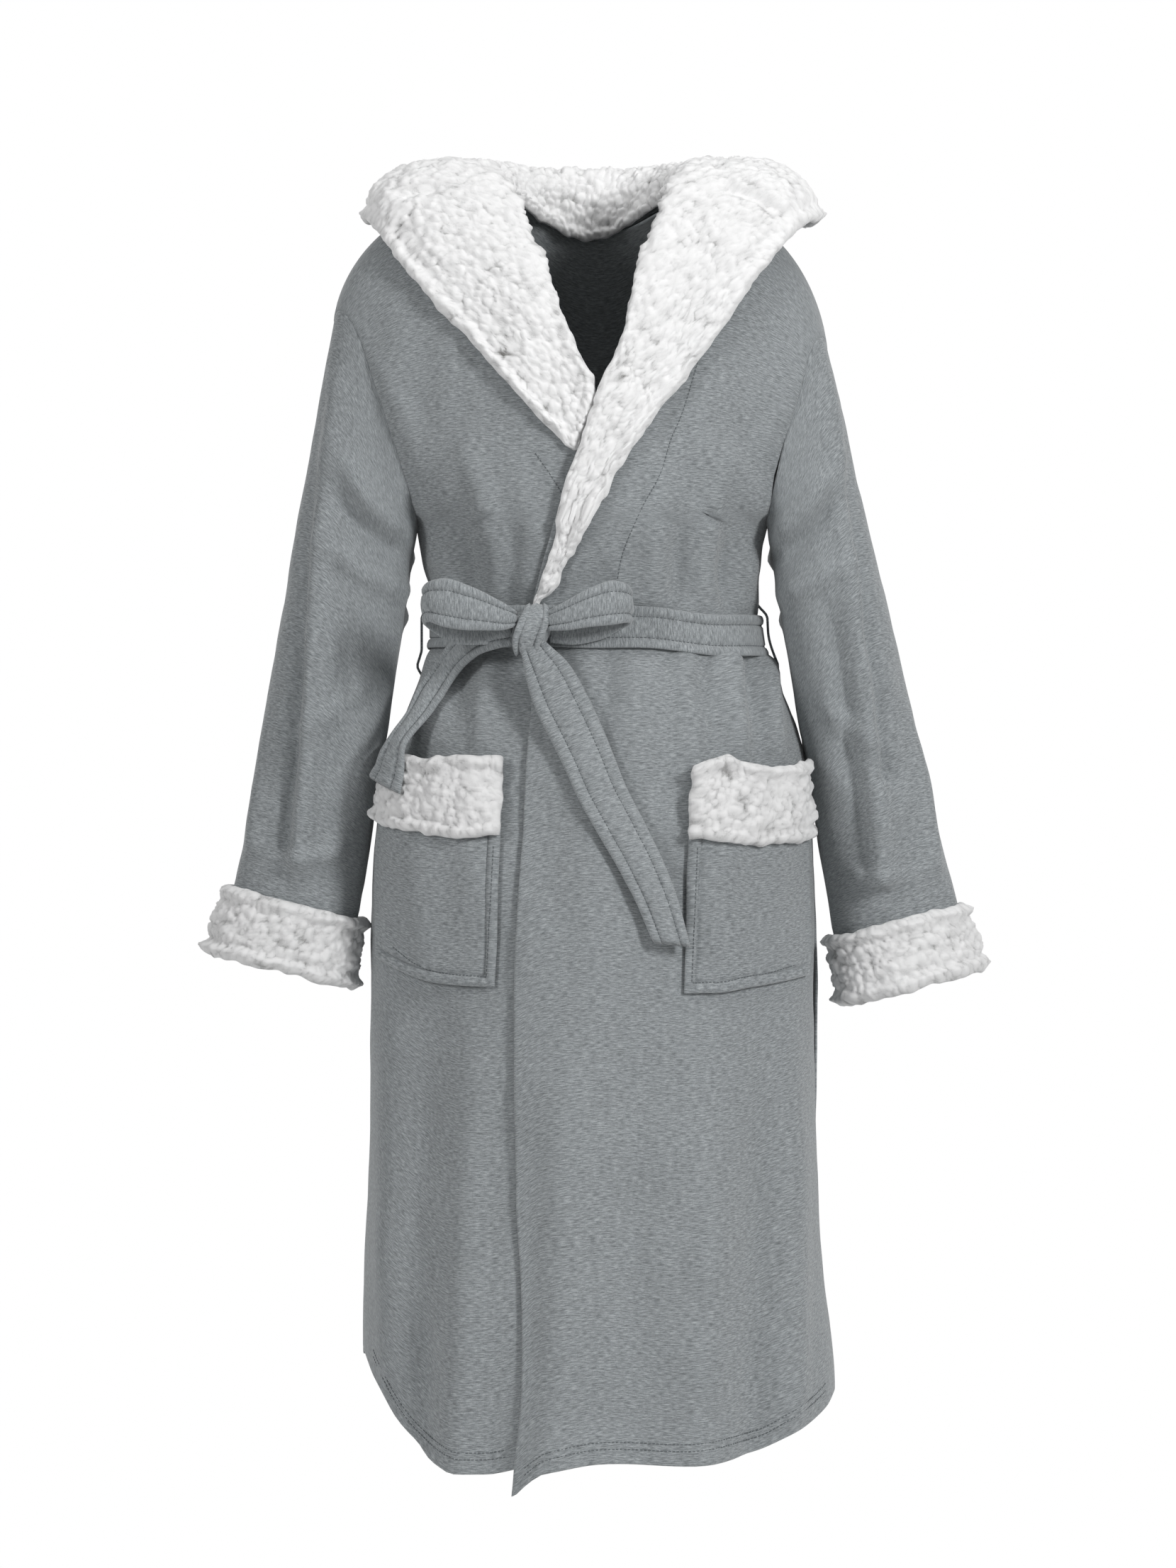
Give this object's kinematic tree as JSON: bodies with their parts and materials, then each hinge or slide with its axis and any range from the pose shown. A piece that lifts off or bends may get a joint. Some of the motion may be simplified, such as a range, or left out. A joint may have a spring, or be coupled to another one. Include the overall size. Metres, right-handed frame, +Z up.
{
  "type": "hooded wrap bathrobe",
  "caption": "Knee-length hooded wrap bathrobe in grey knit with turned-back sherpa lapels, cuffs and pocket tops, closed by a tied belt.",
  "frame": {"origin": "centre-back neck point, where the hood is sewn to the back of the neckline; it is the point that a wearer, a form or a hook carries", "axes": "+Z up the back, -Y out of the front of the robe, +X towards the wearer's left"},
  "size_m": [0.7016, 0.3734, 1.166],
  "materials": {
    "knit": "heather grey brushed sweatshirt knit",
    "sherpa": "white curly sherpa pile"
  },
  "bodies": {
    "robe": {"right_front_panel": "knit", "left_front_panel": "knit", "back_panel": "knit", "right_lapel": "sherpa", "left_lapel": "sherpa", "collar_right_shell": "knit", "collar_left_shell": "knit", "collar_right_lining": "sherpa", "collar_left_lining": "sherpa", "right_pocket": "knit", "right_pocket_band": "sherpa", "left_pocket": "knit", "left_pocket_band": "sherpa", "belt_waistband": "knit", "belt_knot": "knit", "bow_loop_right": "knit", "bow_loop_left": "knit", "right_belt_carrier": "knit", "left_belt_carrier": "knit"},
    "right_sleeve": {"right_sleeve": "knit", "right_cuff": "sherpa"},
    "left_sleeve": {"left_sleeve": "knit", "left_cuff": "sherpa"},
    "belt_end_short": {"belt_tail_short": "knit"},
    "belt_end_long": {"belt_tail_long": "knit"},
    "hood": {"hood_right_shell": "knit", "hood_left_shell": "knit", "hood_right_lining": "sherpa", "hood_left_lining": "sherpa"}
  },
  "joints": [
    {"name": "right_sleeve_lift", "type": "hinge", "parent": "robe", "child": "right_sleeve", "pos_m": [-0.23, -0.06, -0.092], "axis": [0, 1, 0], "range_deg": [0, 35]},
    {"name": "left_sleeve_lift", "type": "hinge", "parent": "robe", "child": "left_sleeve", "pos_m": [0.206, -0.06, -0.118], "axis": [0, -1, 0], "range_deg": [0, 35]},
    {"name": "belt_end_short_lift", "type": "hinge", "parent": "robe", "child": "belt_end_short", "pos_m": [-0.069, -0.178, -0.395], "axis": [-1, 0, 0], "range_deg": [0, 60]},
    {"name": "belt_end_long_lift", "type": "hinge", "parent": "robe", "child": "belt_end_long", "pos_m": [-0.041, -0.183, -0.395], "axis": [-1, 0, 0], "range_deg": [0, 60]},
    {"name": "hood_lift", "type": "hinge", "parent": "robe", "child": "hood", "pos_m": [-0.004, 0.006, 0.046], "axis": [1, 0, 0], "range_deg": [0, 45]}
  ]
}
